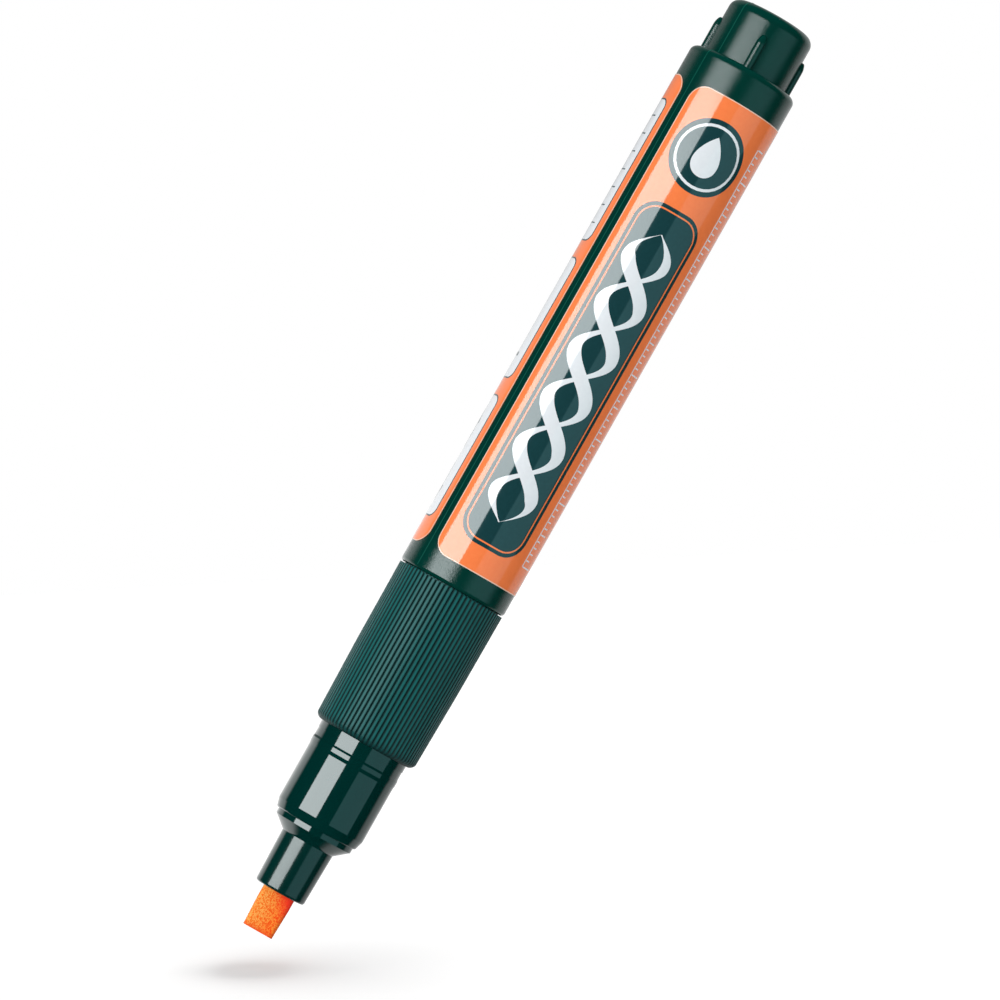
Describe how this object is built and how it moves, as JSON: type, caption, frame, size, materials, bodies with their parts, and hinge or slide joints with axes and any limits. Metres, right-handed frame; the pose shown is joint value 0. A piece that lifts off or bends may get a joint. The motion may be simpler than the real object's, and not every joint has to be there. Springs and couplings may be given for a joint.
{
  "type": "liquid chalk marker",
  "caption": "Uncapped liquid chalk marker: dark green barrel with orange label films, ribbed grip, and a chisel nib that opens a spring valve when it is pressed.",
  "frame": {"origin": "on the marker's axis, level with the writing edge of the nib", "axes": "+Z along the axis from the nib to the tail; -Y is the front, the side with the broad face of the nib"},
  "size_m": [0.0162, 0.0162, 0.1429],
  "materials": {
    "barrel_plastic": "semi-gloss moulded polypropylene, dark green",
    "front_plastic": "polished moulded polypropylene, dark green, matt on the ribs of the grip",
    "nib_fibre": "pressed polyester fibre, soaked with orange ink",
    "label_film": "gloss printed film, orange",
    "valve_plastic": "natural white moulded polypropylene",
    "seal_rubber": "black rubber",
    "spring_steel": "drawn stainless wire",
    "ball_steel": "ground steel ball"
  },
  "bodies": {
    "marker": {"barrel": "barrel_plastic", "front_section": "front_plastic", "barrel_seal": "seal_rubber", "valve_body": "valve_plastic", "valve_spring": "spring_steel", "spring_cage": "valve_plastic", "front_label": "label_film", "rear_label": "label_film"},
    "nib_and_stem": {"nib": "nib_fibre", "valve_stem": "valve_plastic", "valve_seal": "seal_rubber"},
    "ball": {"mixing_ball": "ball_steel"}
  },
  "joints": [
    {"name": "nib_press", "type": "slide", "parent": "marker", "child": "nib_and_stem", "axis": [0, 0, 1], "range_m": [0, 0.002], "stiffness_N_per_m": 800, "springref_m": -0.0015, "deforming": ["valve_spring"]},
    {"name": "ball_slide", "type": "slide", "parent": "marker", "child": "ball", "axis": [0, 0, 1], "range_m": [0, 0.0745]}
  ]
}
